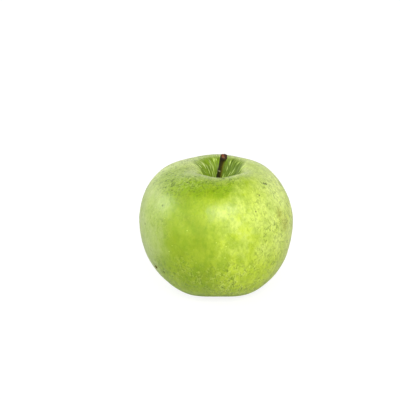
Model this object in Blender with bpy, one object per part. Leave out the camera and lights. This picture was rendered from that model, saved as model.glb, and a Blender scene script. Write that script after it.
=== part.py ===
"""A green apple as picked: the fruit, its woody stem, and the dried calyx in the basin underneath.

Metres, +Z up. The origin is on the surface that the apple rests on, under the middle of the fruit,
and -Y is the front. Run it with blender --background --python part.py, or from the text editor.
"""

from math import atan2, cos, hypot, pi, radians, sin

import bmesh
import bpy
from mathutils import Vector
from mathutils.geometry import interpolate_bezier

# Fruit
FRUIT_WIDTH = 0.0755
FRUIT_HEIGHT = 0.0615  # from the surface it rests on to the crest of the shoulder
WIDEST_HEIGHT = 0.0343
SHOULDER_RADIUS = 0.0166  # of the ring of the crest round the stem cavity
LIP_RADIUS = 0.0102  # where the shoulder turns down into the cavity
LIP_DROP = 0.0030  # of the lip below the crest
LIP_SLOPE = radians(58)
CAVITY_DEPTH = 0.0132
CAVITY_FLOOR_RADIUS = 0.0027
FOOT_RADIUS = 0.0122  # of the ring that the five lobes stand on
BASIN_DEPTH = 0.0066
CALYX_TUBE_RADIUS = 0.0023
CALYX_TUBE_END_RADIUS = 0.0016
CALYX_TUBE_DEPTH = 0.0042

# How far each level of the fruit has grown off the centre line, along X
SOCKET_SHIFT = 0.0008
LIP_SHIFT = 0.0020
SHOULDER_SHIFT = 0.0015
SHOULDER_SWAY = 0.0030  # how far the shift turns back outside the crest
FOOT_SHIFT = 0.0012

# How far the outline runs straight on from each of its points before it bends
FLOOR_PULL = Vector((0.0008, 0, 0.0036))
LIP_PULL_DOWN = 0.0035
LIP_PULL_UP = 0.0014
SHOULDER_PULL_IN = 0.0034
SHOULDER_PULL_OUT = 0.0112
WIDEST_PULL_UP = 0.0140
WIDEST_PULL_DOWN = 0.0166
FOOT_PULL_OUT = 0.0180
FOOT_PULL_IN = 0.0050
BASIN_PULL = Vector((0.0035, 0, -0.0007))

# The five lobes, strongest at the foot and faint at the shoulder
LOBES = 5
FIRST_LOBE = radians(18)
LOBE_SWELL = 0.016  # share of the radius
FOOT_WAVE = 0.0008  # how far the foot rises between two lobes
FOOT_FLAT = 0.0002  # how much of each lobe is pressed flat where it rests
SHOULDER_WAVE = 0.0003

# Stem
STEM_DIAMETER = 0.0026
STEM_FOOT_DIAMETER = 0.0030
STEM_TIP_DIAMETER = 0.0038  # the knob where it broke from the twig
KNOB_LENGTH = 0.0038
STEM_RISE = 0.0060  # of the tip's centre above the crest of the shoulder
STEM_LEAN = 0.0027  # of the tip from the socket, along X
STEM_NOD = 0.0010  # of the tip towards the front
SOCKET_DEPTH = 0.0035
SOCKET_LIP = 0.0003  # how far the cavity's floor rises outwards from the socket
CLEARANCE = 0.0003  # between two pieces that touch

# Dried calyx
SEPALS = 5
SEPAL_ROOT_GAP = 0.0014  # from the calyx tube's edge out to the sepal's root
SEPAL_ROOT_DROP = 0.0010  # of the root below the basin's floor
SEPAL_WIDTH = 0.0026
SEPAL_TIP_SHARE = 0.15  # of its width that is left at the tip
SEPAL_CUP = 0.0003  # how far the edges turn in towards the tube
SEPAL_THICKNESS = 0.00045
SEPAL_DROP = 0.0038  # how far the tip hangs below the root
STAMEN_RADIUS = 0.0013
STAMEN_TOP_RADIUS = 0.0008
STAMEN_RIB = 0.1  # share of the radius
STAMEN_RIBS = 9
STAMEN_DROP = 0.0012  # how far the tuft hangs out of the calyx tube

# Fineness of the meshes
FRUIT_STEPS = 60
ARC_STEPS = 10

# An outline's point holds its radius, the shift of its centre, and its height
OUT = Vector((1, 0, 0))
ACROSS = Vector((0, 1, 0))
UP = Vector((0, 0, 1))

HALF_WIDTH = FRUIT_WIDTH / 2
CAVITY_FLOOR = FRUIT_HEIGHT - CAVITY_DEPTH
SOCKET_RADIUS = STEM_FOOT_DIAMETER / 2 + CLEARANCE
SOCKET_FLOOR = CAVITY_FLOOR - SOCKET_DEPTH
TUBE_TOP = BASIN_DEPTH + CALYX_TUBE_DEPTH
STEM_TOP = FRUIT_HEIGHT + STEM_RISE


def clear_scene():
    for obj in list(bpy.data.objects):
        bpy.data.objects.remove(obj, do_unlink=True)


def make_material(name, colour, roughness, metallic=0.0):
    material = bpy.data.materials.new(name)
    material.use_nodes = True
    shader = material.node_tree.nodes["Principled BSDF"]
    shader.inputs["Base Color"].default_value = (*colour, 1.0)
    shader.inputs["Roughness"].default_value = roughness
    shader.inputs["Metallic"].default_value = metallic
    return material


def make_object(name, data, material, parent=None):
    data.materials.append(material)
    obj = bpy.data.objects.new(name, data)
    bpy.context.scene.collection.objects.link(obj)
    obj.parent = parent
    return obj


def make_mesh_object(name, bm, material, parent=None):
    bmesh.ops.recalc_face_normals(bm, faces=bm.faces)
    mesh = bpy.data.meshes.new(name)
    bm.to_mesh(mesh)
    bm.free()
    mesh.shade_smooth()
    mesh.set_sharp_from_angle(angle=radians(40))
    return make_object(name, mesh, material, parent)


def make_empty(name, location):
    empty = bpy.data.objects.new(name, None)
    empty.location = location
    bpy.context.scene.collection.objects.link(empty)
    return empty


def arc(start, start_handle, end_handle, end):
    """One Bezier arc of the outline, without its last point, which the next arc repeats."""
    return interpolate_bezier(start, start + start_handle, end + end_handle, end, ARC_STEPS + 1)[:-1]


def fruit_outline():
    """Half the fruit's section, from the stem socket over the shoulder and the foot to the calyx tube."""
    socket_floor = Vector((SOCKET_RADIUS, SOCKET_SHIFT, SOCKET_FLOOR))
    socket_mouth = Vector((SOCKET_RADIUS, SOCKET_SHIFT, CAVITY_FLOOR))
    cavity_floor = Vector((CAVITY_FLOOR_RADIUS, SOCKET_SHIFT, CAVITY_FLOOR + SOCKET_LIP))
    lip = Vector((LIP_RADIUS, LIP_SHIFT, FRUIT_HEIGHT - LIP_DROP))
    up_the_lip = Vector((cos(LIP_SLOPE), 0, sin(LIP_SLOPE)))
    shoulder = Vector((SHOULDER_RADIUS, SHOULDER_SHIFT, FRUIT_HEIGHT))
    widest = Vector((HALF_WIDTH, 0, WIDEST_HEIGHT))
    foot = Vector((FOOT_RADIUS, FOOT_SHIFT, 0))
    basin_floor = Vector((CALYX_TUBE_RADIUS, FOOT_SHIFT, BASIN_DEPTH))
    tube_end = Vector((CALYX_TUBE_END_RADIUS, FOOT_SHIFT, TUBE_TOP))
    return [
        Vector((0, SOCKET_SHIFT, SOCKET_FLOOR)),
        socket_floor,
        socket_mouth,
        *arc(cavity_floor, FLOOR_PULL, -LIP_PULL_DOWN * up_the_lip, lip),
        *arc(lip, LIP_PULL_UP * up_the_lip, -SHOULDER_PULL_IN * OUT, shoulder),
        *arc(shoulder, SHOULDER_PULL_OUT * OUT - SHOULDER_SWAY * ACROSS, WIDEST_PULL_UP * UP, widest),
        *arc(widest, -WIDEST_PULL_DOWN * UP, FOOT_PULL_OUT * OUT, foot),
        *arc(foot, -FOOT_PULL_IN * OUT, BASIN_PULL, basin_floor),
        basin_floor,
        tube_end,
        Vector((0, FOOT_SHIFT, TUBE_TOP)),
    ]


def shape_fruit(bm, shift_layer):
    """Gives the turned body its lobes, its uneven shoulder and its lean."""
    for vert in bm.verts:
        x, y, z = vert.co
        radius, angle = hypot(x, y), atan2(y, x)
        low = max(0.0, 1 - z / WIDEST_HEIGHT)
        high = max(0.0, (z - WIDEST_HEIGHT) / (FRUIT_HEIGHT - WIDEST_HEIGHT))
        lobe = cos(LOBES * (angle - FIRST_LOBE))
        outward = min(1.0, radius / FOOT_RADIUS)
        radius *= 1 + LOBE_SWELL * low * outward * lobe
        z += low**2 * outward * (FOOT_WAVE * (1 - lobe) / 2 - FOOT_FLAT)
        z += high**2 * outward * SHOULDER_WAVE * lobe
        vert.co = (vert[shift_layer] + radius * cos(angle), radius * sin(angle), z)


def press_flat(bm):
    """Cuts the lobes level where the apple rests, and closes the cuts with flat faces."""
    geometry = [*bm.verts, *bm.edges, *bm.faces]
    bmesh.ops.bisect_plane(
        bm, geom=geometry, dist=1e-7, plane_co=(0, 0, 0), plane_no=(0, 0, -1), clear_outer=True
    )
    bmesh.ops.holes_fill(bm, edges=[edge for edge in bm.edges if edge.is_boundary], sides=0)


def make_fruit():
    bm = bmesh.new()
    shift_layer = bm.verts.layers.float.new("shift")
    verts = []
    for radius, shift, height in fruit_outline():
        vert = bm.verts.new((radius, 0, height))
        vert[shift_layer] = shift
        verts.append(vert)
    edges = [bm.edges.new(pair) for pair in zip(verts, verts[1:])]
    bmesh.ops.spin(
        bm, geom=[*verts, *edges], axis=(0, 0, 1), cent=(0, 0, 0),
        angle=2 * pi, steps=FRUIT_STEPS, use_merge=True,
    )
    bmesh.ops.remove_doubles(bm, verts=bm.verts, dist=1e-6)
    shape_fruit(bm, shift_layer)
    press_flat(bm)
    return make_mesh_object("fruit", bm, make_material("skin", (0.38, 0.52, 0.05), 0.38))


def stem_diameter(height):
    """The stem narrows above its foot and swells again to its knob."""
    knob_bottom = STEM_TOP - KNOB_LENGTH
    knob = min(1.0, max(0.0, (height - knob_bottom) / KNOB_LENGTH))
    foot = min(1.0, max(0.0, (CAVITY_FLOOR + SOCKET_DEPTH - height) / SOCKET_DEPTH))
    swell = (STEM_TIP_DIAMETER - STEM_DIAMETER) * knob**1.5
    spread = (STEM_FOOT_DIAMETER - STEM_DIAMETER) * foot
    return STEM_DIAMETER + swell + spread


def make_stem():
    """A round twig that stands in the socket, leans to the right and nods to the front."""
    foot = Vector((SOCKET_SHIFT, 0, SOCKET_FLOOR + CLEARANCE))
    neck = Vector((SOCKET_SHIFT, 0, CAVITY_FLOOR + 0.0008))
    tip = Vector((SOCKET_SHIFT + STEM_LEAN, -STEM_NOD, STEM_TOP))
    neck_handle = Vector((0.0004, 0, 0.008))
    tip_handle = Vector((-0.0010, 0.0010, -0.006))
    bend = interpolate_bezier(neck, neck + neck_handle, tip + tip_handle, tip, 14)
    points = [foot, *bend]
    curve = bpy.data.curves.new("stem", "CURVE")
    curve.dimensions = "3D"
    curve.bevel_depth = STEM_DIAMETER / 2
    curve.bevel_resolution = 3
    curve.use_fill_caps = True
    spline = curve.splines.new("POLY")
    spline.points.add(len(points) - 1)
    for point, place in zip(spline.points, points):
        point.co = (*place, 1)
        point.radius = stem_diameter(place.z) / STEM_DIAMETER
    return make_object("stem", curve, make_material("bark", (0.05, 0.03, 0.015), 0.7))


def make_sepal(index, centre, material):
    """A thin pointed leaf: it hangs from the basin floor, closes over the tube and curls out at its tip."""
    root = Vector((CALYX_TUBE_RADIUS + SEPAL_ROOT_GAP, 0, -SEPAL_ROOT_DROP))
    tip = root + Vector((-0.0002, 0, -SEPAL_DROP))
    root_handle = Vector((-0.0012, 0, -0.0012))
    tip_handle = Vector((-0.0022, 0, 0.0006))
    spine = interpolate_bezier(root, root + root_handle, tip + tip_handle, tip, 8)
    bm = bmesh.new()
    bmesh.ops.create_grid(bm, x_segments=4, y_segments=len(spine) - 1, size=0.5)
    for vert in bm.verts:
        across, along = 2 * vert.co.x, vert.co.y + 0.5
        place = spine[round(along * (len(spine) - 1))]
        half_width = SEPAL_WIDTH / 2 * (1 - (1 - SEPAL_TIP_SHARE) * along**1.6)
        vert.co = (place.x - SEPAL_CUP * across**2, across * half_width, place.z)
    sepal = make_mesh_object(f"sepal_{index + 1}", bm, material, centre)
    sepal.rotation_euler.z = FIRST_LOBE + 2 * pi * index / SEPALS
    wall = sepal.modifiers.new("thickness", "SOLIDIFY")
    wall.thickness = SEPAL_THICKNESS
    wall.offset = 0
    return sepal


def make_stamens(centre, material):
    """The withered stamens, as one ribbed tuft that stands in the calyx tube."""
    length = CALYX_TUBE_DEPTH - CLEARANCE + STAMEN_DROP
    bm = bmesh.new()
    bmesh.ops.create_cone(
        bm, cap_ends=True, segments=2 * STAMEN_RIBS,
        radius1=STAMEN_RADIUS, radius2=STAMEN_TOP_RADIUS, depth=length,
    )
    for vert in bm.verts:
        vert.co.xy *= 1 - STAMEN_RIB + STAMEN_RIB * cos(STAMEN_RIBS * atan2(vert.co.y, vert.co.x))
    bmesh.ops.translate(bm, verts=bm.verts, vec=(0, 0, length / 2 - STAMEN_DROP))
    return make_mesh_object("stamens", bm, material, centre)


def main():
    clear_scene()
    make_fruit()
    make_stem()
    calyx_centre = make_empty("calyx_centre", (FOOT_SHIFT, 0, BASIN_DEPTH))
    dry_leaf = make_material("dry_leaf", (0.16, 0.12, 0.05), 0.8)
    for index in range(SEPALS):
        make_sepal(index, calyx_centre, dry_leaf)
    make_stamens(calyx_centre, make_material("dry_stamen", (0.06, 0.035, 0.02), 0.85))


main()
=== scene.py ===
# A green apple on a white table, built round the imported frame.
# Metres throughout. The front of the apple faces -Y, and the stem points up +Z.
import random
from math import atan2, cos, exp, hypot, pi, radians, sin

import bmesh
import bpy
from mathutils import Matrix, Vector, noise
from mathutils.bvhtree import BVHTree
from mathutils.geometry import interpolate_bezier


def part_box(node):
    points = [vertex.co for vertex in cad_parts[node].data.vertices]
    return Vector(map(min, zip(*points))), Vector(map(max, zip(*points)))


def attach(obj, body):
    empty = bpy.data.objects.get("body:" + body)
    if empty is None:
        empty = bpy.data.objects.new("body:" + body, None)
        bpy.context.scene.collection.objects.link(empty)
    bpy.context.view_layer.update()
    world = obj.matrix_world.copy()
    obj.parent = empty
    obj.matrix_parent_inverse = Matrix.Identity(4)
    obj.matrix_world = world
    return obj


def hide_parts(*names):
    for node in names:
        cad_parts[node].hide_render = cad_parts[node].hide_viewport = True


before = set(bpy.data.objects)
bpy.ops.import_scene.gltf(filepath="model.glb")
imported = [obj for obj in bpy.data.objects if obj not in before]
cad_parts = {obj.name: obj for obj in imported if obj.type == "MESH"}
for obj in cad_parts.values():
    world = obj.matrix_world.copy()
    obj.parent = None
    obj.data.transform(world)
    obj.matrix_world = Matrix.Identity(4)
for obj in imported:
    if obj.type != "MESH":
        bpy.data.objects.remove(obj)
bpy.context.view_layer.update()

fruitHigh = Vector(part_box("fruit")[1])
stemLow, stemHigh = (Vector(corner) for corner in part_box("stem"))
tuftLow, tuftHigh = (Vector(corner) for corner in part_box("stamens"))
middle = Vector((0, 0, fruitHigh.z / 2))


# small helpers

def rgb(red, green, blue):
    # an sRGB colour as the linear one that the shaders want
    shares = [value / 255 for value in (red, green, blue)]
    linear = [s / 12.92 if s <= 0.04045 else ((s + 0.055) / 1.055) ** 2.4 for s in shares]
    return (*linear, 1)


def smooth(low, high, value):
    share = min(1, max(0, (value - low) / (high - low)))
    return share * share * (3 - 2 * share)


def linkedObject(name, mesh, material):
    mesh.materials.append(material)
    mesh.shade_smooth()
    piece = bpy.data.objects.new(name, mesh)
    bpy.context.scene.collection.objects.link(piece)
    return piece


def finishMesh(name, bm):
    bmesh.ops.remove_doubles(bm, verts=bm.verts, dist=1e-6)
    bmesh.ops.recalc_face_normals(bm, faces=bm.faces)
    mesh = bpy.data.meshes.new(name)
    bm.to_mesh(mesh)
    bm.free()
    return mesh


def turned(outline, steps, layerNames=()):
    # turns (radius, height, layer values...) about Z; the layers keep their values all the way round
    bm = bmesh.new()
    layers = [bm.verts.layers.float.new(name) for name in layerNames]
    verts = []
    for radius, height, *values in outline:
        vert = bm.verts.new((radius, 0, height))
        for layer, value in zip(layers, values):
            vert[layer] = value
        verts.append(vert)
    edges = [bm.edges.new(pair) for pair in zip(verts, verts[1:])]
    bmesh.ops.spin(
        bm, geom=[*verts, *edges], axis=(0, 0, 1), cent=(0, 0, 0),
        angle=2 * pi, steps=steps, use_merge=True,
    )
    bmesh.ops.remove_doubles(bm, verts=bm.verts, dist=1e-7)
    return bm


def evenPoints(dense, gap):
    # walks along a dense line and keeps a point every gap
    points, walked = [dense[0]], 0
    for start, end in zip(dense, dense[1:]):
        length = (end - start).length
        while walked + length >= gap:
            start = start.lerp(end, (gap - walked) / length)
            points.append(start)
            length = (end - start).length
            walked = 0
        walked += length
    return [*points, dense[-1]]


# shader helpers

def addNode(tree, kind, inputs=None, **settings):
    node = tree.nodes.new(kind)
    for name, value in settings.items():
        setattr(node, name, value)
    for name, value in (inputs or {}).items():
        if isinstance(value, bpy.types.NodeSocket):
            tree.links.new(value, node.inputs[name])
        else:
            node.inputs[name].default_value = value
    return node


def maths(tree, operation, *values, clamp=False):
    inputs = dict(enumerate(values))
    return addNode(tree, "ShaderNodeMath", inputs, operation=operation, use_clamp=clamp).outputs[0]


def scaled(tree, value, gain, base):
    return maths(tree, "MULTIPLY_ADD", value, gain, base)


def times(tree, *masks):
    product = masks[0]
    for mask in masks[1:]:
        product = maths(tree, "MULTIPLY", product, mask)
    return product


def strongest(tree, *masks):
    highest = masks[0]
    for mask in masks[1:]:
        highest = maths(tree, "MAXIMUM", highest, mask)
    return highest


def ramp(tree, value, low, high, start=0.0, end=1.0):
    inputs = {"Value": value, "From Min": low, "From Max": high, "To Min": start, "To Max": end}
    node = addNode(tree, "ShaderNodeMapRange", inputs, interpolation_type="SMOOTHSTEP")
    return node.outputs["Result"]


def blend(tree, factor, first, second):
    node = addNode(tree, "ShaderNodeMix", data_type="RGBA", clamp_factor=True)
    for socket, value in zip((node.inputs[0], node.inputs[6], node.inputs[7]), (factor, first, second)):
        if isinstance(value, bpy.types.NodeSocket):
            tree.links.new(value, socket)
        else:
            socket.default_value = value
    return node.outputs[2]


def objectPlace(tree):
    return addNode(tree, "ShaderNodeTexCoord").outputs["Object"]


def stretched(tree, vector, share):
    # scales a pattern in Z only: down the section on the fruit, up the grain on the stem
    return addNode(tree, "ShaderNodeMapping", {"Vector": vector, "Scale": (1.0, 1.0, share)}).outputs[0]


def cloud(tree, vector, scale, detail=2.0, rough=0.5, distortion=0.0):
    inputs = {
        "Vector": vector, "Scale": scale, "Detail": detail, "Roughness": rough, "Distortion": distortion,
    }
    return addNode(tree, "ShaderNodeTexNoise", inputs).outputs["Fac"]


def newMaterial(name, **plain):
    # a Principled material; plain holds the sockets that are the same all over
    material = bpy.data.materials.new(name)
    material.use_nodes = True
    shader = material.node_tree.nodes["Principled BSDF"]
    for socket, value in plain.items():
        shader.inputs[socket.replace("_", " ")].default_value = value
    return material, material.node_tree, shader


def paint(tree, shader, colour, rough, height, depth):
    # what every finish varies over the surface: its colour, its roughness and its relief
    bump = addNode(tree, "ShaderNodeBump", {"Height": height, "Strength": 1.0, "Distance": depth})
    for socket, value in (("Base Color", colour), ("Roughness", rough), ("Normal", bump.outputs[0])):
        tree.links.new(value, shader.inputs[socket])


def newGroup(name, inputs, outputs):
    group = bpy.data.node_groups.new(name, "ShaderNodeTree")
    for socketName, socketType, value in inputs:
        socket = group.interface.new_socket(socketName, in_out="INPUT", socket_type=socketType)
        if value is not None:
            socket.default_value = value
    for socketName in outputs:
        group.interface.new_socket(socketName, in_out="OUTPUT", socket_type="NodeSocketFloat")
    source = addNode(group, "NodeGroupInput").outputs
    sink = addNode(group, "NodeGroupOutput").inputs
    return group, source, sink


def useGroup(tree, group, **inputs):
    return addNode(tree, "ShaderNodeGroup", inputs, node_tree=group).outputs


def maskOf(tree, group, **inputs):
    return useGroup(tree, group, **inputs)["Mask"]


# effects that several materials share

def makeSpeckles():
    # soft round specks, one at most in each cell, in a share of the cells
    group, source, sink = newGroup("speckles", [
        ("Vector", "NodeSocketVector", None),
        ("Cells", "NodeSocketFloat", 300.0),
        ("Size", "NodeSocketFloat", 0.2),
        ("Share", "NodeSocketFloat", 0.5),
    ], ["Mask", "Ring"])
    cells = addNode(group, "ShaderNodeTexVoronoi", {"Vector": source["Vector"], "Scale": source["Cells"]})
    distance = cells.outputs["Distance"]
    colour = addNode(group, "ShaderNodeSeparateColor", {0: cells.outputs["Color"]}).outputs
    chosen = maths(group, "LESS_THAN", colour[0], source["Share"])
    size = maths(group, "MULTIPLY", source["Size"], scaled(group, colour[1], 0.8, 0.5))
    inside = maths(group, "SUBTRACT", 1.0, maths(group, "DIVIDE", distance, size), clamp=True)
    halo = maths(group, "MULTIPLY", size, 2.0)
    around = maths(group, "SUBTRACT", 1.0, maths(group, "DIVIDE", distance, halo), clamp=True)
    mask = ramp(group, inside, 0.0, 0.6)
    ring = maths(group, "SUBTRACT", ramp(group, around, 0.0, 0.5), mask, clamp=True)
    group.links.new(maths(group, "MULTIPLY", mask, chosen), sink["Mask"])
    group.links.new(maths(group, "MULTIPLY", ring, chosen), sink["Ring"])
    return group


def makeStrokes():
    # short wandering lines along one level of a distorted noise, each with a pale line beside it
    group, source, sink = newGroup("strokes", [
        ("Vector", "NodeSocketVector", None),
        ("Fineness", "NodeSocketFloat", 600.0),
        ("Wander", "NodeSocketFloat", 1.0),
        ("Thinness", "NodeSocketFloat", 0.06),
    ], ["Mask", "Beside"])
    fine = cloud(group, source["Vector"], source["Fineness"], 2.0, 0.5, source["Wander"])
    for name, level in (("Mask", 0.0), ("Beside", 1.8)):
        offset = scaled(group, source["Thinness"], level, 0.5)
        away = maths(group, "ABSOLUTE", maths(group, "SUBTRACT", fine, offset))
        share = maths(group, "SUBTRACT", 1.0, maths(group, "DIVIDE", away, source["Thinness"]), clamp=True)
        group.links.new(share, sink[name])
    return group


def makeMottle():
    # cloudy patches with a soft edge, where Cover is about the share that they take
    group, source, sink = newGroup("mottle", [
        ("Vector", "NodeSocketVector", None),
        ("Fineness", "NodeSocketFloat", 100.0),
        ("Detail", "NodeSocketFloat", 3.0),
        ("Cover", "NodeSocketFloat", 0.5),
        ("Softness", "NodeSocketFloat", 0.15),
    ], ["Mask"])
    patches = cloud(group, source["Vector"], source["Fineness"], source["Detail"], 0.55, 0.3)
    centre = scaled(group, source["Cover"], -0.4, 0.7)
    low = maths(group, "SUBTRACT", centre, source["Softness"])
    high = maths(group, "ADD", centre, source["Softness"])
    group.links.new(ramp(group, patches, low, high), sink["Mask"])
    return group


def makeSpot():
    # a soft spot round one place on the piece
    group, source, sink = newGroup("spot", [
        ("Vector", "NodeSocketVector", None),
        ("Centre", "NodeSocketVector", (0.0, 0.0, 0.0)),
        ("Radius", "NodeSocketFloat", 0.001),
        ("Hardness", "NodeSocketFloat", 0.5),
    ], ["Mask"])
    ends = {0: source["Vector"], 1: source["Centre"]}
    away = addNode(group, "ShaderNodeVectorMath", ends, operation="DISTANCE").outputs["Value"]
    share = maths(group, "DIVIDE", away, source["Radius"])
    group.links.new(ramp(group, share, 1.0, source["Hardness"]), sink["Mask"])
    return group


speckles = makeSpeckles()
strokes = makeStrokes()
mottle = makeMottle()
spot = makeSpot()
print("shared effects ready")


# the fruit

fruitShape = {
    "crest": 0.0615,          # height of the shoulder's crest
    "widest": 0.0343,         # height where it is widest
    "shoulderRadius": 0.0166,
    "lipRadius": 0.0102,      # where the shoulder turns down into the stem cavity
    "lipDrop": 0.0030,
    "lipSlope": radians(58),
    "cavityDepth": 0.0132,
    "socketRadius": 0.00135,  # closes on the stem
    "socketDepth": 0.0030,
    "footRadius": 0.0122,
    "basinDepth": 0.0066,
    "tubeRadius": 0.0023,
    "tubeEndRadius": 0.0016,
    "tubeDepth": 0.0042,
    "socketShift": 0.0008,    # how far each level sits off the centre line
    "lipShift": 0.0020,
    "shoulderShift": 0.0015,
    "shoulderSway": 0.0030,
    "footShift": 0.0012,
    "lobes": 5,
    "firstLobe": radians(18),
    "lobeSwell": 0.016,
    "footWave": 0.0008,
    "footFlat": 0.0002,
    "shoulderWave": 0.0003,
    "footSoftness": 0.00012,  # the foot flattens softly over this height
    "broadLump": 0.00022,
    "middleLump": 0.00008,
    "smallLump": 0.00009,
    "cavityFlute": 0.00022,
    "basinFlute": 0.00016,
    "ringGap": 0.00049,
    "steps": 372,
}


def fruitOutline():
    # (radius, sideways shift, height) along half the section, from the socket to the calyx tube
    s = fruitShape
    out, across, up = Vector((1, 0, 0)), Vector((0, 1, 0)), Vector((0, 0, 1))
    floorHeight = s["crest"] - s["cavityDepth"]
    tubeTop = s["basinDepth"] + s["tubeDepth"]
    upTheLip = Vector((cos(s["lipSlope"]), 0, sin(s["lipSlope"])))
    corners = [  # each point, the pull on the way in and the pull on the way out
        (Vector((0, s["socketShift"], floorHeight - s["socketDepth"])), None, 0.0003 * out),
        (Vector((s["socketRadius"], s["socketShift"], floorHeight - 0.0012)), -0.0006 * up, 0.0008 * up),
        (
            Vector((0.0027, s["socketShift"], floorHeight + 0.0004)),
            -0.0006 * out - 0.0006 * up, 0.0009 * out + 0.0036 * up,
        ),
        (
            Vector((s["lipRadius"], s["lipShift"], s["crest"] - s["lipDrop"])),
            -0.0035 * upTheLip, 0.0014 * upTheLip,
        ),
        (
            Vector((s["shoulderRadius"], s["shoulderShift"], s["crest"])),
            -0.0034 * out, 0.0112 * out - s["shoulderSway"] * across,
        ),
        (Vector((fruitHigh.x, 0, s["widest"])), 0.0140 * up, -0.0166 * up),
        (Vector((s["footRadius"], s["footShift"], 0)), 0.0180 * out, -0.0050 * out),
        (
            Vector((s["tubeRadius"], s["footShift"], s["basinDepth"])),
            0.0035 * out - 0.0007 * up, 0.0008 * up,
        ),
        (Vector((s["tubeEndRadius"], s["footShift"], tubeTop)), -0.0015 * up, -0.0008 * out),
        (Vector((0, s["footShift"], tubeTop)), 0.0004 * out, None),
    ]
    dense = []
    for (start, _, leave), (end, arrive, _) in zip(corners, corners[1:]):
        dense += interpolate_bezier(start, start + leave, end + arrive, end, 160)[:-1]
    return evenPoints([*dense, corners[-1][0]], s["ringGap"])


def shapeFruit(bm, shift, along, total):
    # the five lobes, the uneven shoulder, broad lumps, the flutes of the two hollows, and the pressed foot
    s = fruitShape
    for vert in bm.verts:
        x, y, z = vert.co
        radius, angle = hypot(x, y), atan2(y, x)
        low = max(0, 1 - z / s["widest"])
        high = max(0, (z - s["widest"]) / (s["crest"] - s["widest"]))
        lobe = cos(s["lobes"] * (angle - s["firstLobe"]))
        outward = min(1, radius / s["footRadius"])
        ring = Vector((cos(angle), sin(angle), 0))
        walk = vert[along]
        # skin, cavity and basin each hold over one stretch of the section, told by the walk from the socket
        cavity = smooth(0.0030, 0.0070, walk) * (1 - smooth(0.0150, 0.0230, walk))
        basin = smooth(total - 0.022, total - 0.014, walk)
        basin *= 1 - smooth(total - 0.0085, total - 0.0065, walk)
        skin = smooth(0.016, 0.030, walk) * (1 - smooth(total - 0.024, total - 0.014, walk))
        radius *= 1 + s["lobeSwell"] * low * outward * lobe
        z += low**2 * outward * (s["footWave"] * (1 - lobe) / 2 - s["footFlat"])
        z += high**2 * outward * s["shoulderWave"] * lobe
        place = Vector((radius * ring.x, radius * ring.y, z))
        broad = noise.noise(place * 55 + Vector((3.1, 0.4, 7.7)))
        mid = noise.noise(place * 115 + Vector((6.6, 2.2, 4.0)))
        small = noise.fractal(place * 210 + Vector((9.2, 5.1, 1.3)), 1.0, 2.1, 3)
        flutes = noise.noise(ring * 6.5 + Vector((0, 0, 90 * walk)))
        flutes += 0.6 * noise.noise(ring * 15 + Vector((0, 4, 60 * walk)))
        radius += skin * (s["broadLump"] * broad + s["middleLump"] * mid + s["smallLump"] * small)
        radius += (s["cavityFlute"] * cavity + s["basinFlute"] * basin) * flutes
        floor = s["footSoftness"]
        z = z if z > floor else floor * exp((z - floor) / floor) if z > -floor else 0
        vert.co = (vert[shift] + radius * ring.x, radius * ring.y, z)


def addBakeMap(bm, along, total):
    # two round maps, one for each half, unrolled from the stem and from the calyx
    uv = bm.loops.layers.uv.new("OFBake")
    half, nearHalf, outside = fruitShape["widest"], 0.0004, 0.03
    topCentre, bottomCentre, mapRadius = 0.292, 0.708, 0.285
    widestWalks = [
        vert[along] for vert in bm.verts
        if abs(vert.co.z - half) < nearHalf and hypot(*vert.co.xy) > outside
    ]
    split = sum(widestWalks) / len(widestWalks)
    reach = mapRadius / max(split, total - split)
    for face in bm.faces:
        top = sum(vert[along] for vert in face.verts) / len(face.verts) < split
        centre = face.calc_center_median()
        for loop in face.loops:
            walk = loop.vert[along]
            flat = loop.vert.co if hypot(*loop.vert.co.xy) > 1e-5 else centre
            angle = atan2(flat.y, flat.x)
            distance = reach * (walk if top else total - walk)
            corner = topCentre if top else bottomCentre
            turn = angle if top else -angle
            loop[uv].uv = (corner + distance * cos(turn), corner + distance * sin(turn))


def buildFruit():
    outline = fruitOutline()
    rows, walked = [], 0
    for index, point in enumerate(outline):
        if index:
            walked += (point - outline[index - 1]).length
        rows.append((point.x, point.z, point.y, walked))
    bm = turned(rows, fruitShape["steps"], ("shift", "along"))
    shift = bm.verts.layers.float["shift"]
    along = bm.verts.layers.float["along"]
    shapeFruit(bm, shift, along, walked)
    addBakeMap(bm, along, walked)
    skinTree = BVHTree.FromBMesh(bm)
    mesh = finishMesh("fruitSkin", bm)
    # flow runs round the fruit in X and Y and down its section in Z, so that marks narrow towards the poles
    flow = mesh.attributes.new("flow", "FLOAT_VECTOR", "POINT")
    walks = mesh.attributes["along"].data
    shifts = mesh.attributes["shift"].data
    for index, vert in enumerate(mesh.vertices):
        angle = atan2(vert.co.y, vert.co.x - shifts[index].value)
        flow.data[index].vector = (fruitHigh.x * cos(angle), fruitHigh.x * sin(angle), walks[index].value)
    return mesh, skinTree, walked


def onSkin(skinTree, bearing, height):
    # the place on the fruit at this bearing, in degrees right of the front, and at this height
    direction = Vector((sin(radians(bearing)), -cos(radians(bearing)), 0))
    outside = Vector((0, 0, height)) + direction * 2 * fruitHigh.x
    place, normal, _, _ = skinTree.ray_cast(outside, -direction)
    return place, normal


fruitMesh, skinTree, fruitWalk = buildFruit()
print("fruit", len(fruitMesh.polygons), "faces,", round(fruitWalk * 1000, 1), "mm along the section")


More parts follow.
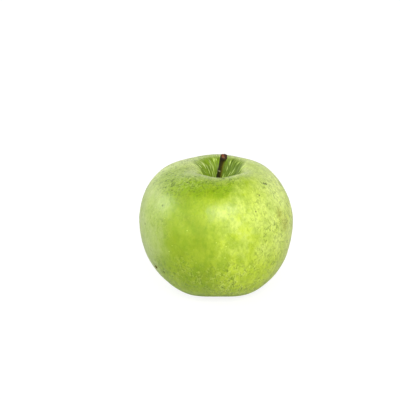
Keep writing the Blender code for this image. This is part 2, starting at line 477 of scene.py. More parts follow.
# bearing in degrees right of the front, height, radius, depth of colour
skinMarks = [
    {"bearing": 61, "height": 0.0574, "radius": 0.0010, "depth": 0.95},
    {"bearing": 59, "height": 0.0579, "radius": 0.0008, "depth": 0.90},
    {"bearing": 33, "height": 0.0493, "radius": 0.0006, "depth": 0.75},
    {"bearing": 43, "height": 0.0549, "radius": 0.0007, "depth": 0.60},
    {"bearing": 10, "height": 0.0497, "radius": 0.0005, "depth": 0.35},
    {"bearing": -48, "height": 0.0501, "radius": 0.0007, "depth": 0.65},
    {"bearing": -64, "height": 0.0384, "radius": 0.0008, "depth": 0.60},
    {"bearing": -46, "height": 0.0167, "radius": 0.0010, "depth": 0.80},
    {"bearing": 128, "height": 0.0410, "radius": 0.0009, "depth": 0.75},
    {"bearing": 205, "height": 0.0300, "radius": 0.0008, "depth": 0.80},
    {"bearing": 240, "height": 0.0520, "radius": 0.0007, "depth": 0.60},
]

skinRussets = [
    {"bearing": 61, "height": 0.0395, "radius": 0.0058},
    {"bearing": 57, "height": 0.0450, "radius": 0.0040},
    {"bearing": 212, "height": 0.0440, "radius": 0.0070},
]

skinColours = {
    "coolSkinAndLight": rgb(175, 190, 120),
    "leaf": rgb(136, 160, 15),
    "yellow": rgb(191, 211, 58),
    "pearAndReflection": rgb(206, 222, 120),
    "rimReflection": rgb(222, 236, 128),
    "foot": rgb(190, 216, 0),
    "deep": rgb(122, 157, 0),
    "pale": rgb(224, 240, 112),
    "cavity": rgb(118, 150, 0),
    "cavityPale": rgb(212, 236, 124),
    "shade": rgb(58, 84, 0),
    "frostAndSheen": rgb(206, 220, 144),
    "bloom": rgb(154, 178, 72),
    "stroke": rgb(88, 118, 10),
    "fleck": rgb(80, 104, 24),
    "speck": rgb(56, 62, 18),
    "russet": rgb(136, 138, 30),
    "brown": rgb(92, 70, 34),
}

skinLook = {
    "crestWalk": 0.0240,   # distance along the section from the stem to the crest of the shoulder
    "patches": 0.62,
    "netting": 0.88,
    "netPale": 0.66,
    "netLines": [  # fineness, wander, thinness and strength
        (210.0, 1.6, 0.040, 1.0),
        (330.0, 1.3, 0.056, 1.0),
        (680.0, 0.8, 0.070, 0.7),
    ],
    "grain": 0.40,
    "lenticels": 0.42,
    "bloom": 0.60,
    "frostAndSheen": 0.70,
    "dashes": 0.95,
    "wax": 0.22,
    "roughness": 0.23,
    "relief": 0.00010,
}


def groundColour(tree, on):
    # cool on the left, which is partly painted cool light and painted edge sheen, leaf green, then yellow on
    # the right, with soft mottles over it
    c, look = skinColours, skinLook
    wander = scaled(tree, cloud(tree, on["place"], 42, 3), 0.030, -0.015)
    across = maths(tree, "ADD", on["x"], wander)
    # painted cool light and a painted pale edge sheen on the left side, over its own green
    colour = blend(tree, ramp(tree, across, -0.036, -0.020), c["coolSkinAndLight"], c["leaf"])
    colour = blend(tree, ramp(tree, across, -0.009, 0.013), colour, c["yellow"])
    # painted light: paler on the upper right, where the right softbox falls
    upperRightLit = times(tree, ramp(tree, across, 0.012, 0.030), ramp(tree, on["z"], 0.020, 0.036))
    colour = blend(tree, upperRightLit, colour, c["pearAndReflection"])
    # pale patches near and right of the highlight, partly paler skin and partly a painted reflection of the
    # front softbox
    palerAndReflection = maskOf(tree, mottle, Vector=on["place"], Fineness=150.0, Detail=3.0, Cover=0.62, Softness=0.11)
    palerAndReflection = times(tree, palerAndReflection, ramp(tree, on["x"], -0.002, 0.010), ramp(tree, on["z"], 0.020, 0.034))
    colour = blend(tree, times(tree, palerAndReflection, look["patches"]), colour, c["pearAndReflection"])
    # painted reflection: a pale rim along the right edge
    colour = blend(tree, ramp(tree, across, 0.025, 0.035, 0.0, 0.75), colour, c["rimReflection"])
    colour = blend(tree, ramp(tree, on["z"], 0.018, 0.004, 0.0, 0.50), colour, c["foot"])
    broad = maskOf(tree, mottle, Vector=on["place"], Fineness=120.0, Detail=3.0, Cover=0.45, Softness=0.13)
    even = ramp(tree, on["x"], -0.010, -0.024, 1.0, 0.45)  # the cool side has softer patches
    colour = blend(tree, times(tree, broad, even, look["patches"] * 0.55), colour, c["yellow"])
    middling = stretched(tree, on["flow"], 0.65)
    middling = maskOf(tree, mottle, Vector=middling, Fineness=260.0, Detail=4.0, Cover=0.44, Softness=0.15)
    fewer = ramp(tree, on["x"], 0.004, 0.018, 1.0, 0.50)  # the yellow side is more even
    colour = blend(tree, times(tree, middling, fewer, even, look["patches"]), colour, c["deep"])
    grain = cloud(tree, stretched(tree, on["flow"], 0.7), 900, 3, 0.7)
    return blend(tree, times(tree, ramp(tree, grain, 0.45, 0.68), look["grain"]), colour, c["deep"])


def netting(tree, on, colour):
    # broken wandering lines and pale dots, patchy, and strongest low down and on the right
    c, look = skinColours, skinLook
    patchy = ramp(tree, cloud(tree, on["place"], 78, 3), 0.40, 0.60, 0.38, 1.0)
    low = ramp(tree, on["z"], 0.038, 0.020, 0.0, 1.0)
    right = ramp(tree, on["x"], 0.011, 0.024)
    left = ramp(tree, on["x"], -0.016, -0.028, 0.0, 0.6)
    patchy = strongest(tree, patchy, times(tree, right, 0.6))
    front = ramp(tree, on["y"], 0.022, -0.004, 0.5, 1.0)
    busy = times(tree, strongest(tree, low, right, left, 0.25), patchy, front)
    flow = stretched(tree, on["flow"], 0.62)
    broken = ramp(tree, cloud(tree, on["place"], 480, 2), 0.43, 0.55)
    darkLines, paleLines = [], []
    for fineness, wander, thinness, strength in look["netLines"]:
        lines = useGroup(tree, strokes, Vector=flow, Fineness=fineness, Wander=wander, Thinness=thinness)
        darkLines.append(times(tree, lines["Mask"], broken, strength))
        paleLines.append(times(tree, lines["Beside"], broken, strength))
    dots = maskOf(tree, speckles, Vector=flow, Cells=640.0, Size=0.36, Share=0.45)
    dark = times(tree, strongest(tree, *darkLines), busy)
    warm = ramp(tree, on["x"], -0.018, 0.006, 0.45, 1.0)  # the pale lines fade on the cool side
    pale = times(tree, strongest(tree, *paleLines, times(tree, dots, 0.3)), busy, warm)
    colour = blend(tree, times(tree, dark, look["netting"]), colour, c["stroke"])
    colour = blend(tree, times(tree, pale, look["netPale"]), colour, c["pale"])
    return colour, maths(tree, "SUBTRACT", times(tree, pale, 0.5), dark)


def lenticels(tree, on, colour):
    # small pale dots, some with a dark heart
    c, look = skinColours, skinLook
    dots = useGroup(tree, speckles, Vector=on["place"], Cells=270.0, Size=0.12, Share=0.6)
    colour = blend(tree, times(tree, dots["Mask"], look["lenticels"]), colour, c["pale"])
    colour = blend(tree, times(tree, dots["Ring"], look["lenticels"] * 0.6), colour, c["deep"])
    hearts = maskOf(tree, speckles, Vector=on["place"], Cells=128.0, Size=0.050, Share=0.55)
    return blend(tree, times(tree, hearts, 0.6), colour, c["speck"]), dots["Mask"]


def shoulderBloom(tree, on, colour):
    # a deep ring outside the crest, grey bloom with dark flecks over the shoulder, frost on the lip that is
    # partly a painted highlight, and painted sheen on the upper left edge
    c, look, walk = skinColours, skinLook, on["walk"]
    crest = look["crestWalk"]
    wander = scaled(tree, cloud(tree, on["place"], 90, 2), 0.010, -0.005)
    ragged = maths(tree, "ADD", walk, wander)
    ring = times(
        tree, ramp(tree, ragged, crest + 0.001, crest + 0.005),
        ramp(tree, ragged, crest + 0.016, crest + 0.009), ramp(tree, on["x"], 0.020, 0.006, 0.35, 1.0),
    )
    blotches = ramp(tree, cloud(tree, on["place"], 420, 3, 0.6), 0.42, 0.56, 0.40, 1.0)
    colour = blend(tree, times(tree, ring, blotches, 0.62), colour, c["deep"])
    reach = ramp(tree, on["x"], 0.002, -0.020, 0.0, 0.008)  # it reaches further down on the left
    reached = maths(tree, "SUBTRACT", ragged, reach)
    band = ramp(tree, walk, crest - 0.009, crest - 0.005)
    band = times(tree, band, ramp(tree, reached, crest + 0.009, crest + 0.001))
    flow = stretched(tree, on["flow"], 1.3)
    patches = maskOf(tree, mottle, Vector=flow, Fineness=300.0, Detail=4.0, Cover=0.55, Softness=0.10)
    bloom = times(tree, band, scaled(tree, patches, 0.7, 0.3), look["bloom"])
    colour = blend(tree, bloom, colour, c["bloom"])
    frostNoise = ramp(tree, cloud(tree, flow, 560, 3, 0.65), 0.50, 0.60)
    # frost on the lip, partly bloom and partly a painted highlight along its crest
    lip = ramp(tree, walk, crest - 0.0085, crest - 0.0065)
    lip = times(tree, lip, ramp(tree, ragged, crest + 0.002, crest - 0.0035))
    frostAndSheen = times(tree, lip, scaled(tree, frostNoise, 0.75, 0.25))
    frostAndSheen = strongest(tree, frostAndSheen, times(tree, band, frostNoise, 0.42))
    frostAndSheen = times(tree, frostAndSheen, look["frostAndSheen"])
    outside = ramp(tree, walk, crest - 0.007, crest - 0.003)
    backLeft = times(tree, ramp(tree, on["x"], -0.005, -0.013), ramp(tree, on["y"], -0.006, 0.004))
    # painted sheen: a pale haze along the upper left edge, behind the crest
    hazySheen = times(tree, outside, ramp(tree, reached, crest + 0.014, crest + 0.006), backLeft)
    frostAndSheen = strongest(tree, frostAndSheen, times(tree, hazySheen, 0.62))
    colour = blend(tree, frostAndSheen, colour, c["frostAndSheen"])
    lines = maskOf(tree, strokes, Vector=flow, Fineness=310.0, Wander=1.2, Thinness=0.050)
    dots = maskOf(tree, speckles, Vector=flow, Cells=400.0, Size=0.38, Share=0.6)
    wide = times(tree, outside, ramp(tree, reached, crest + 0.0135, crest + 0.004))
    flecks = times(tree, strongest(tree, times(tree, lines, 0.8), dots), wide)
    flecks = times(tree, flecks, ramp(tree, on["x"], 0.020, 0.008, 0.4, 1.0))
    colour = blend(tree, flecks, colour, c["fleck"])
    return colour, strongest(tree, bloom, frostAndSheen), flecks


def stemCavity(tree, on, colour):
    # deep green walls, darkened partly by painted shade, with pale dashes that run down to the stem, partly
    # lenticels and partly painted glints
    c, look, walk = skinColours, skinLook, on["walk"]
    crest = look["crestWalk"]
    wander = scaled(tree, cloud(tree, on["flow"], 130, 2), 0.0016, -0.0008)
    # the painted shade in the hollow reaches higher at the back
    higher = ramp(tree, on["y"], 0.000, 0.010, 0.0, 0.0064)  # the dark wall reaches higher at the back
    fringe = times(tree, cloud(tree, stretched(tree, on["flow"], 0.2), 330, 2), 0.004)
    level = maths(tree, "ADD", maths(tree, "ADD", walk, wander), fringe)
    level = maths(tree, "SUBTRACT", level, higher)
    wall = ramp(tree, level, crest - 0.0040, crest - 0.0080)
    # the walls take a deep green that is partly their own colour and partly painted shade
    colour = blend(tree, times(tree, wall, 0.95), colour, c["cavity"])
    # painted shade, darker on the right wall
    shadeRight = times(tree, wall, ramp(tree, on["x"], 0.001, 0.006), 0.46)  # on the right
    colour = blend(tree, shadeRight, colour, c["shade"])
    within = times(tree, ramp(tree, walk, 0.0035, 0.0065), ramp(tree, walk, crest - 0.0006, crest - 0.0044))
    flow = stretched(tree, on["flow"], 0.42)
    long = maskOf(tree, speckles, Vector=flow, Cells=270.0, Size=0.46, Share=0.60)
    flow = stretched(tree, on["flow"], 0.6)
    short = maskOf(tree, speckles, Vector=flow, Cells=430.0, Size=0.42, Share=0.45)
    # pale dashes, partly stretched lenticels and partly painted glints on the flute ridges
    dashes = strongest(tree, long, times(tree, short, 0.8))
    dashes = times(tree, dashes, within, ramp(tree, on["x"], 0.002, 0.007, 1.0, 0.85))
    flow = stretched(tree, on["flow"], 0.22)
    streaks = maskOf(tree, strokes, Vector=flow, Fineness=260.0, Wander=0.3, Thinness=0.07)
    # painted shade in dark streaks between the dashes
    colour = blend(tree, times(tree, streaks, wall, 0.70), colour, c["shade"])
    rays = ramp(tree, cloud(tree, stretched(tree, on["flow"], 0.28), 520, 2), 0.52, 0.62)
    rays = times(
        tree, rays, ramp(tree, walk, crest - 0.0100, crest - 0.0070),
        ramp(tree, walk, crest - 0.0014, crest - 0.0046), ramp(tree, on["x"], 0.001, -0.006, 0.15, 0.65),
    )
    colour = blend(tree, rays, colour, c["frostAndSheen"])
    colour = blend(tree, times(tree, dashes, look["dashes"]), colour, c["cavityPale"])
    return colour, dashes, wall


def calyxBasin(tree, on, colour):
    # paler and streaked underneath, and brown where the calyx sits
    c, walk, end = skinColours, on["walk"], fruitWalk
    flow = stretched(tree, on["flow"], 0.25)
    streaks = maskOf(tree, mottle, Vector=flow, Fineness=210.0, Cover=0.5, Softness=0.15)
    basin = ramp(tree, walk, end - 0.024, end - 0.012)
    basin = times(tree, basin, scaled(tree, streaks, 0.5, 0.15))
    colour = blend(tree, basin, colour, c["pale"])
    tube = ramp(tree, walk, end - 0.0115, end - 0.0075)
    tube = times(tree, tube, scaled(tree, streaks, 0.35, 0.6))
    return blend(tree, tube, colour, c["brown"]), tube


def russetPatches(tree, on, colour):
    # a patch with crackled rings on the right, and a fainter one behind
    patches = []
    for patch in skinRussets:
        centre, _ = onSkin(skinTree, patch["bearing"], patch["height"])
        mask = maskOf(tree, spot, Vector=on["place"], Centre=centre, Radius=patch["radius"], Hardness=0.15)
        patches.append(mask)
    crackle = maskOf(tree, strokes, Vector=on["place"], Fineness=420.0, Wander=1.8, Thinness=0.07)
    cover = times(tree, strongest(tree, *patches), scaled(tree, crackle, 0.60, 0.38))
    return blend(tree, cover, colour, skinColours["russet"]), cover


def darkMarks(tree, on, colour):
    # single spots and dashes of dry skin
    marks = []
    for mark in skinMarks:
        centre, _ = onSkin(skinTree, mark["bearing"], mark["height"])
        mask = maskOf(tree, spot, Vector=on["place"], Centre=centre, Radius=mark["radius"], Hardness=0.35)
        marks.append(times(tree, mask, mark["depth"]))
    ragged = maths(tree, "ADD", cloud(tree, on["place"], 2200, 2), 0.45)
    dark = maths(tree, "MULTIPLY", strongest(tree, *marks), ragged, clamp=True)
    return blend(tree, dark, colour, skinColours["speck"]), dark


def skinMaterial():
    look = skinLook
    material, tree, shader = newMaterial(
        "appleSkin", Coat_Roughness=0.22, Specular_IOR_Level=0.45, Specular_Tint=(1.0, 1.0, 0.78, 1.0),
        Sheen_Weight=0.05, Sheen_Roughness=0.30, Sheen_Tint=(1.0, 1.0, 0.75, 1.0),
        Subsurface_Weight=0.15, Subsurface_Radius=(0.0022, 0.0026, 0.0008), Subsurface_Scale=1.0,
    )
    place = objectPlace(tree)
    flow = addNode(tree, "ShaderNodeAttribute", attribute_name="flow").outputs["Vector"]
    x, y, z = addNode(tree, "ShaderNodeSeparateXYZ", {0: place}).outputs
    walk = addNode(tree, "ShaderNodeSeparateXYZ", {0: flow}).outputs[2]
    # on tells each layer where it is, in metres; walk is the way down the section from the stem
    on = {"place": place, "flow": flow, "x": x, "y": y, "z": z, "walk": walk}

    colour = groundColour(tree, on)
    colour, netHeight = netting(tree, on, colour)
    colour, dotHeight = lenticels(tree, on, colour)
    colour, dull, flecks = shoulderBloom(tree, on, colour)
    colour, dashes, wall = stemCavity(tree, on, colour)
    colour, tube = calyxBasin(tree, on, colour)
    colour, russet = russetPatches(tree, on, colour)
    colour, dark = darkMarks(tree, on, colour)
    tree.links.new(scaled(tree, wall, -look["wax"], look["wax"]), shader.inputs["Coat Weight"])

    # satin wax, rubbed dull on the bloom, the russet and the calyx
    rough = scaled(tree, cloud(tree, place, 170, 4), 0.18, look["roughness"])
    for mask, more in ((dull, 0.18), (wall, 0.20), (russet, 0.20), (tube, 0.30), (dark, 0.20)):
        rough = scaled(tree, mask, more, rough)

    height = times(tree, cloud(tree, place, 1300, 3, 0.6), 0.30)
    pushes = [
        (cloud(tree, place, 330, 2), 1.1), (netHeight, 0.5), (dotHeight, 0.5),
        (flecks, -0.5), (dashes, 0.9), (dark, -1.2),
    ]
    for mask, push in pushes:
        height = scaled(tree, mask, push, height)
    paint(tree, shader, colour, rough, height, look["relief"])
    return material


fruit = linkedObject("fruitSkin", fruitMesh, skinMaterial())
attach(fruit, "root")
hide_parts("fruit")
print("skin painted")


# the stem

stemShape = {
    "footRadius": 0.0015,
    "radius": 0.00128,
    "tipRadius": 0.0019,
    "knobShare": 0.17,       # of the length that the knob takes at the tip
    "cutTilt": radians(20),  # the broken end faces up and forward
    "tipDrop": 0.0009,       # so that the tilted end stays below the CAD stem's top
    "scarShare": 0.63,       # where a bud scar crosses the left side
    "barkLength": 0.0225,
    "ridge": 0.00010,        # heights of the bark's ridges, rungs and wrinkles, and of the scar's collar
    "rung": 0.00005,
    "wrinkle": 0.00006,
    "collar": 0.00024,
    "relief": 0.00008,
    "rings": 120,
    "steps": 48,
}


def stemPath():
    # straight out of its socket, then leaning right and a little forward
    s = stemShape
    foot = Vector((stemLow.x + s["footRadius"], 0, stemLow.z))
    neck = foot + Vector((0, 0, 0.0040))
    tip = Vector((stemHigh.x - s["tipRadius"], stemLow.y + s["tipRadius"], stemHigh.z - s["tipDrop"]))
    leave, arrive = neck + Vector((0.0004, 0, 0.008)), tip + Vector((-0.0010, 0.0010, -0.006))
    bend = interpolate_bezier(neck, leave, arrive, tip, 100)
    return [foot.lerp(neck, share / 20) for share in range(20)] + list(bend)


def knobPoint(angle):
    # a place near the rim of the broken end, at this angle about the stem
    radius = stemShape["tipRadius"] * 0.8
    return stemPath()[-1] + Vector((radius * cos(angle), radius * sin(angle), 0))


def stemMaterial():
    s = stemShape
    material, tree, shader = newMaterial("stemBark", Specular_IOR_Level=0.25)
    place = objectPlace(tree)
    grain = addNode(tree, "ShaderNodeAttribute", attribute_name="grain").outputs["Vector"]
    cut = addNode(tree, "ShaderNodeAttribute", attribute_name="cut").outputs["Fac"]
    height = addNode(tree, "ShaderNodeSeparateXYZ", {0: place}).outputs[2]
    bark = blend(tree, cloud(tree, stretched(tree, grain, 0.12), 1900, 3), rgb(22, 18, 0), rgb(76, 65, 2))
    green = maskOf(tree, mottle, Vector=stretched(tree, grain, 0.3), Fineness=420.0, Cover=0.5, Softness=0.2)
    bark = blend(tree, times(tree, green, 0.5), bark, rgb(68, 64, 8))
    drawn = stretched(tree, grain, 0.15)
    fibres = maskOf(tree, strokes, Vector=drawn, Fineness=1500.0, Wander=0.3, Thinness=0.07)
    bark = blend(tree, times(tree, fibres, 0.45), bark, rgb(20, 16, 6))
    pores = maskOf(tree, speckles, Vector=stretched(tree, grain, 0.5), Cells=1500.0, Size=0.28, Share=0.3)
    bark = blend(tree, times(tree, pores, 0.6), bark, rgb(168, 150, 96))
    foot = ramp(tree, height, stemLow.z + 0.009, stemLow.z + 0.003)
    bark = blend(tree, times(tree, foot, 0.8), bark, rgb(122, 116, 6))
    around, _, along = addNode(tree, "ShaderNodeSeparateXYZ", {0: grain}).outputs
    away = maths(tree, "ABSOLUTE", maths(tree, "SUBTRACT", along, s["scarShare"] * s["barkLength"]))
    scar = times(tree, ramp(tree, away, 0.00055, 0.00020), ramp(tree, around, 0.0004, -0.0005))
    bark = blend(tree, times(tree, scar, 0.75), bark, rgb(196, 190, 150))
    shaded = ramp(tree, around, 0.0002, -0.0010)
    bark = blend(tree, times(tree, shaded, 0.75), bark, rgb(22, 16, 0))
    lit = ramp(tree, around, 0.0002, 0.0009)
    bark = blend(tree, times(tree, lit, 0.72), bark, rgb(124, 130, 34))
    # the bark darkens towards the broken end
    darkerTop = ramp(tree, along, 0.86 * s["barkLength"], 0.96 * s["barkLength"])
    bark = blend(tree, times(tree, darkerTop, 0.75), bark, rgb(26, 16, 8))
    wood = blend(tree, cloud(tree, place, 2600, 3), rgb(30, 18, 10), rgb(78, 46, 28))
    pith = blend(tree, cloud(tree, place, 3400, 3), rgb(92, 66, 40), rgb(146, 112, 78))
    wood = blend(tree, ramp(tree, cut, 0.48, 0.66), wood, pith)
    # painted highlight: an orange spot where the far edge of the broken end catches the light
    farEdgeGlint = maskOf(tree, spot, Vector=place, Centre=knobPoint(0.58 * pi), Radius=0.0013, Hardness=0.25)
    wood = blend(tree, times(tree, farEdgeGlint, 0.85), wood, rgb(170, 86, 36))
    colour = blend(tree, ramp(tree, cut, 0.02, 0.16), bark, wood)
    rough = scaled(tree, cloud(tree, place, 900, 2), 0.25, 0.48)
    bumps = scaled(tree, fibres, -0.6, cloud(tree, stretched(tree, grain, 0.2), 2600, 3))
    paint(tree, shader, colour, rough, bumps, s["relief"])
    return material


def buildStem():
    s = stemShape
    path = stemPath()
    # the outline holds (radius share, way along the stem, how far into the cut end)
    rings = s["rings"]
    outline = [(0, 0, 0), (0.6, 0, 0)]
    outline += [(1, index / rings, 0) for index in range(rings + 1)]
    outline += [(1 - index / 12, 1, index / 12) for index in range(1, 13)]
    bm = turned(outline, s["steps"], ("cut",))
    cut = bm.verts.layers.float["cut"]
    grains = []
    for vert in bm.verts:
        share = min(1, max(0, vert.co.z))
        radiusShare, angle = hypot(vert.co.x, vert.co.y), atan2(vert.co.y, vert.co.x)
        ring = Vector((cos(angle), sin(angle), 0))
        spread = 1 - smooth(0, 0.28, share)
        knob = max(0, (share - 1 + s["knobShare"]) / s["knobShare"])
        flare = (s["tipRadius"] - s["radius"]) * knob**1.4 * (1 + 0.35 * cos(angle - 0.2))
        flare -= 0.00016 * knob**3 * cos(4 * angle)  # the torn end is squarish
        radius = s["radius"] + (s["footRadius"] - s["radius"]) * spread + flare
        ridges = noise.noise(ring * 2.6 + Vector((0, 0, 5 * share)))
        ridges += 0.5 * noise.noise(ring * 6 + Vector((7, 0, 9 * share)))
        rungs = noise.noise(Vector((0.3 * ring.x, 0.3 * ring.y, 60 * share)))
        wrinkles = smooth(0.70, 0.86, share) * rungs
        collar = exp(-((share - s["scarShare"]) / 0.014) ** 2) * (1 - ring.x) / 2
        radius += s["ridge"] * ridges + s["rung"] * rungs + s["wrinkle"] * wrinkles + s["collar"] * collar
        radius -= 0.00030 * knob**6 * (1 - cos(angle)) / 2  # the knob is thinner on its left
        spoke = radius * radiusShare
        end = vert[cut]
        lift = 0.00022 * sin(pi * min(1, end / 0.4)) - 0.00055 * smooth(0.36, 0.62, end)
        lift += 0.00016 * noise.noise(ring * 9 * radiusShare + Vector((2, 5, 1)))
        position = share * (len(path) - 1)
        index = min(int(position), len(path) - 2)
        centre = path[index].lerp(path[index + 1], position - index)
        ahead = (path[min(index + 4, len(path) - 1)] - path[max(index - 4, 0)]).normalized()
        turn = Vector((0, 0, 1)).rotation_difference(ahead)
        tilt = knob**3 * sin(s["cutTilt"]) * spoke * ring.y
        local = Vector((spoke * ring.x, spoke * ring.y, tilt + (lift if end > 0 else 0)))
        grains.append((s["radius"] * ring.x, s["radius"] * ring.y, share * s["barkLength"]))
        vert.co = centre + turn @ local
    bm.verts.index_update()
    mesh = bpy.data.meshes.new("stemTwig")
    bmesh.ops.recalc_face_normals(bm, faces=bm.faces)
    bm.to_mesh(mesh)
    bm.free()
    grain = mesh.attributes.new("grain", "FLOAT_VECTOR", "POINT")
    for index, value in enumerate(grains):
        grain.data[index].vector = value
    return mesh


stem = linkedObject("stemTwig", buildStem(), stemMaterial())
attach(stem, "root")
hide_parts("stem")
print("stem grown")


# the scab low on the left

scabShape = {
    "bearing": -56.5,        # degrees right of the front
    "height": 0.0172,
    "radius": 0.00062,
    "thickness": 0.00042,
    "relief": 0.00006,
}


def scabMaterial():
    material, tree, shader = newMaterial("scabCrust", Specular_IOR_Level=0.3)
    place = objectPlace(tree)
    colour = blend(tree, cloud(tree, place, 3000, 3), rgb(34, 26, 14), rgb(104, 84, 48))
    rough = scaled(tree, cloud(tree, place, 2000, 2), 0.2, 0.6)
    paint(tree, shader, colour, rough, cloud(tree, place, 5000, 3), scabShape["relief"])
    return material


def buildScab():
    s = scabShape
    centre, normal = onSkin(skinTree, s["bearing"], s["height"])
    bm = bmesh.new()
    bmesh.ops.create_icosphere(bm, subdivisions=4, radius=1)
    turn = Vector((0, 0, 1)).rotation_difference(normal)
    for vert in bm.verts:
        rough = 1 + 0.30 * noise.fractal(vert.co * 1.7 + Vector((4, 2, 8)), 1.0, 2.0, 4)
        local = vert.co * rough
        local = Vector((local.x * s["radius"], local.y * s["radius"] * 1.3, local.z * s["thickness"]))
        vert.co = centre + turn @ local
    return finishMesh("scab", bm)


scab = linkedObject("scab", buildScab(), scabMaterial())
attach(scab, "root")


# the dried calyx

calyxShape = {
    "sepals": 5,
    "sepalWidth": 0.0029,
    "sepalDrop": 0.0046,       # how far the tip hangs below the root
    "sepalThickness": 0.00022,
    "sepalRelief": 0.00007,
    "hairs": 46,               # on the edges of each sepal
    "hairLength": 0.0005,
    "stamens": 18,
    "threadRadius": 0.00011,
    "antherSwell": 0.00014,    # added to the radius near the tip
    "stamenRelief": 0.00005,
}


def sepalMaterial():
    material, tree, shader = newMaterial(
        "driedSepal", Specular_IOR_Level=0.3, Sheen_Weight=0.35, Sheen_Roughness=0.5,
    )
    place = objectPlace(tree)
    drawn = stretched(tree, place, 0.3)
    veins = maskOf(tree, strokes, Vector=drawn, Fineness=1100.0, Wander=0.4, Thinness=0.08)
    patches = maskOf(tree, mottle, Vector=place, Fineness=520.0, Cover=0.5, Softness=0.2)
    colour = blend(tree, patches, rgb(112, 104, 62), rgb(84, 66, 38))
    colour = blend(tree, times(tree, veins, 0.5), colour, rgb(150, 140, 100))
    height = maths(tree, "ADD", veins, cloud(tree, place, 3000, 3))
    paint(tree, shader, colour, scaled(tree, patches, 0.15, 0.7), height, calyxShape["sepalRelief"])
    return material


def stamenMaterial():
    material, tree, shader = newMaterial("witheredStamen", Specular_IOR_Level=0.3)
    place = objectPlace(tree)
    patches = maskOf(tree, mottle, Vector=place, Fineness=900.0, Cover=0.5, Softness=0.2)
    colour = blend(tree, patches, rgb(58, 40, 24), rgb(120, 92, 56))
    rough, height = scaled(tree, patches, 0.1, 0.75), cloud(tree, place, 4000, 3)
    paint(tree, shader, colour, rough, height, calyxShape["stamenRelief"])
    return material


def sepalHalfWidth(along):
    # narrows from the root to a point
    return calyxShape["sepalWidth"] / 2 * (1 - 0.97 * along**1.5)


def buildSepal(number):
    # a pointed leaf that closes over the tube and curls back at its tip, with down along its edges
    s, f = calyxShape, fruitShape
    dice = random.Random(40 + number)
    turn = f["firstLobe"] + 2 * pi * number / s["sepals"]
    root = Vector((f["tubeRadius"] + 0.0008, 0, f["basinDepth"] + 0.0002))
    tip = root + Vector((
        dice.uniform(-0.0006, 0.0008), dice.uniform(-0.0005, 0.0005),
        dice.uniform(0, 0.0006) - s["sepalDrop"],
    ))
    leave, arrive = root + Vector((-0.0016, 0, -0.0016)), tip + Vector((-0.0026, 0, 0.0005))
    spine = interpolate_bezier(root, leave, arrive, tip, 33)
    bm = bmesh.new()
    bmesh.ops.create_grid(bm, x_segments=14, y_segments=32, size=0.5)
    for vert in bm.verts:
        across, along = 2 * vert.co.x, vert.co.y + 0.5
        centre = spine[round(along * 32)]
        ragged = 1 + 0.12 * noise.noise(Vector((9 * along, 3 * number, 2 * across)))
        width = sepalHalfWidth(along) * ragged
        fold = 0.00045 * across**2 * (1 - along)
        fold += 0.00022 * noise.noise(Vector((5 * along, 2 * across, number)))
        curl = 0.0006 * smooth(0.6, 1.0, along) * across
        vert.co = (centre.x - fold, centre.y + across * width + curl, centre.z)
    bmesh.ops.solidify(bm, geom=bm.faces, thickness=s["sepalThickness"])
    for _ in range(s["hairs"]):
        along = dice.uniform(0.15, 1.0)
        side = dice.choice((-1, 1))
        centre = spine[round(along * 32)]
        base = centre + Vector((0, side * sepalHalfWidth(along) * 0.95, 0))
        lean = Vector((
            dice.uniform(-1, 1), side * dice.uniform(0.3, 1.2), dice.uniform(-0.8, 0.8),
        )).normalized()
        matrix = Matrix.Translation(base + lean * 0.00022) @ lean.to_track_quat("Z", "Y").to_matrix().to_4x4()
        bmesh.ops.create_cone(
            bm, cap_ends=True, segments=4, radius1=0.00004, radius2=0.000012,
            depth=s["hairLength"], matrix=matrix,
        )
    centreShift = Matrix.Translation((f["footShift"], 0, 0)) @ Matrix.Rotation(turn, 4, "Z")
    bmesh.ops.transform(bm, matrix=centreShift, verts=bm.verts)
    return finishMesh(f"sepal{number + 1}", bm)


def buildStamens():
    # threads round the mouth of the tube, each with a small swelling near its tip
    s, f = calyxShape, fruitShape
    dice = random.Random(7)
    steps = 14
    outline = [(0, 0)]
    for step in range(steps + 1):
        swell = s["antherSwell"] * smooth(0.80, 0.90, step / steps)
        outline.append((s["threadRadius"] + swell, step / steps))
    outline.append((0, 1))
    whole = bmesh.new()
    for index in range(s["stamens"]):
        angle = 2 * pi * index / s["stamens"] + dice.uniform(-0.15, 0.15)
        start = Vector((0.0009 * cos(angle), 0.0009 * sin(angle), tuftHigh.z + 0.0002))
        reach = dice.uniform(0.0006, 0.0014)
        lowEnd = tuftLow.z + dice.uniform(0, 0.0012)
        tip = Vector((reach * cos(angle + 0.3), reach * sin(angle + 0.3), lowEnd))
        leave, arrive = start - Vector((0, 0, 0.0015)), tip + Vector((0, 0, 0.0014))
        line = interpolate_bezier(start, leave, arrive, tip, steps + 1)
        strand = turned(outline, 8)
        for vert in strand.verts:
            centre = line[round(vert.co.z * steps)]
            vert.co = (centre.x + vert.co.x + f["footShift"], centre.y + vert.co.y, centre.z)
        part = bpy.data.meshes.new("strand")
        strand.to_mesh(part)
        strand.free()
        whole.from_mesh(part)
        bpy.data.meshes.remove(part)
    return finishMesh("stamenTuft", whole)


sepalFinish = sepalMaterial()
for number in range(calyxShape["sepals"]):
    sepal = linkedObject(f"sepal{number + 1}", buildSepal(number), sepalFinish)
    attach(sepal, "root")
    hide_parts(f"sepal_{number + 1}")
tuft = linkedObject("stamenTuft", buildStamens(), stamenMaterial())
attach(tuft, "root")
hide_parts("stamens")
print("calyx dried")


# the table, the light and the camera

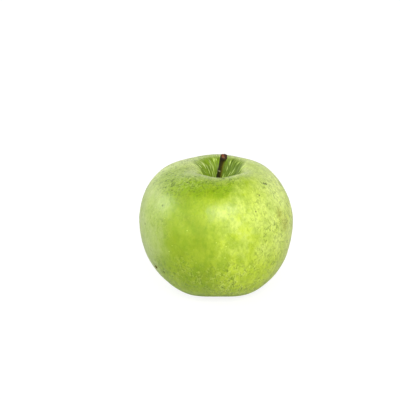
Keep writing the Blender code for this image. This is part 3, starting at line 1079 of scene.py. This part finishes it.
studio = {
    "tableSize": 6.0,
    "tableGlow": 0.86,  # only the camera sees it, so it lights nothing
    "horizon": 1.32,    # brightness of the room low down
    "ceiling": 0.12,    # and overhead
    "lightAway": 1.0,
    "lights": [  # bearing right of the front, height angle, width, height, watts, colour
        {
            "name": "frontSoftbox", "bearing": 13, "rise": 43, "wide": 0.66, "high": 0.36,
            "watts": 6.3, "colour": (1.0, 0.99, 0.93),
        },
        {
            "name": "rightSoftbox", "bearing": 38, "rise": 48, "wide": 0.80, "high": 0.80,
            "watts": 0.9, "colour": (1.0, 1.0, 0.95),
        },
        {
            "name": "leftSoftbox", "bearing": -95, "rise": 25, "wide": 0.60, "high": 0.42,
            "watts": 3.0, "colour": (0.90, 0.98, 1.0),
        },
        {
            "name": "leftScreen", "bearing": -66, "rise": 44, "wide": 0.80, "high": 0.80,
            "watts": 1.4, "colour": (0.98, 0.99, 1.0),
        },
    ],
    "cameraRise": radians(22),
    "cameraAway": 0.52,
    "lens": 94.8,
    "turnLeft": radians(0.87),  # leaves the apple a little right of the middle of the frame
    "turnUp": radians(1.39),    # and a little below it
}


def buildTable():
    material, tree, shader = newMaterial("paleTable", Specular_IOR_Level=0.2)
    place = objectPlace(tree)
    colour = blend(tree, cloud(tree, place, 6, 2), (0.49, 0.49, 0.49, 1), (0.52, 0.52, 0.52, 1))
    seen = addNode(tree, "ShaderNodeLightPath").outputs["Is Camera Ray"]
    colour = blend(tree, seen, colour, (0.18, 0.18, 0.18, 1))  # keeps the shadow faint
    tree.links.new(colour, shader.inputs["Base Color"])
    shader.inputs["Emission Color"].default_value = (1, 1, 1, 1)
    tree.links.new(times(tree, seen, studio["tableGlow"]), shader.inputs["Emission Strength"])
    tree.links.new(scaled(tree, cloud(tree, place, 20, 2), 0.1, 0.6), shader.inputs["Roughness"])
    bm = bmesh.new()
    bmesh.ops.create_grid(bm, x_segments=2, y_segments=2, size=studio["tableSize"] / 2)
    mesh = bpy.data.meshes.new("table")
    bm.to_mesh(mesh)
    bm.free()
    mesh.transform(Matrix.Translation((0, 0, -0.00004)))  # just under the foot, so that no two faces coincide
    return linkedObject("table", mesh, material)


def buildLights():
    for light in studio["lights"]:
        lamp = bpy.data.lights.new(light["name"], "AREA")
        lamp.shape = "RECTANGLE"
        lamp.size = light["wide"]
        lamp.size_y = light["high"]
        lamp.energy = light["watts"]
        lamp.color = light["colour"]
        bearing, rise = radians(light["bearing"]), radians(light["rise"])
        direction = Vector((sin(bearing) * cos(rise), -cos(bearing) * cos(rise), sin(rise)))
        piece = bpy.data.objects.new(light["name"], lamp)
        piece.location = middle + direction * studio["lightAway"]
        piece.rotation_euler = direction.to_track_quat("Z", "Y").to_euler()
        bpy.context.scene.collection.objects.link(piece)
    world = bpy.data.worlds.new("whiteRoom")
    world.use_nodes = True
    background = world.node_tree.nodes["Background"]
    tree = world.node_tree
    sky = addNode(tree, "ShaderNodeTexCoord").outputs["Generated"]
    height = addNode(tree, "ShaderNodeSeparateXYZ", {0: sky}).outputs[2]
    room = ramp(tree, height, 0.38, 0.76, studio["horizon"], studio["ceiling"])
    seen = addNode(tree, "ShaderNodeLightPath").outputs["Is Camera Ray"]
    strength = addNode(tree, "ShaderNodeMix", {0: seen, 2: room, 3: 1.0}).outputs[0]
    tree.links.new(strength, background.inputs["Strength"])
    tree.links.new(blend(tree, seen, (1.0, 1.0, 0.88, 1), (1, 1, 1, 1)), background.inputs["Color"])
    bpy.context.scene.world = world


def buildCamera():
    s = studio
    lens = bpy.data.cameras.new("camera")
    lens.lens = s["lens"]
    lens.sensor_width = 36
    lens.clip_start = 0.01
    camera = bpy.data.objects.new("camera", lens)
    direction = Vector((0, -cos(s["cameraRise"]), sin(s["cameraRise"])))
    aim = direction.to_track_quat("Z", "Y").to_matrix().to_4x4()
    turn = Matrix.Rotation(s["turnLeft"], 4, "Y") @ Matrix.Rotation(s["turnUp"], 4, "X")
    camera.matrix_world = Matrix.Translation(middle + direction * s["cameraAway"]) @ aim @ turn
    bpy.context.scene.collection.objects.link(camera)
    bpy.context.scene.camera = camera


buildTable()
buildLights()
buildCamera()
bpy.context.scene.view_settings.view_transform = "Standard"
print("studio lit")
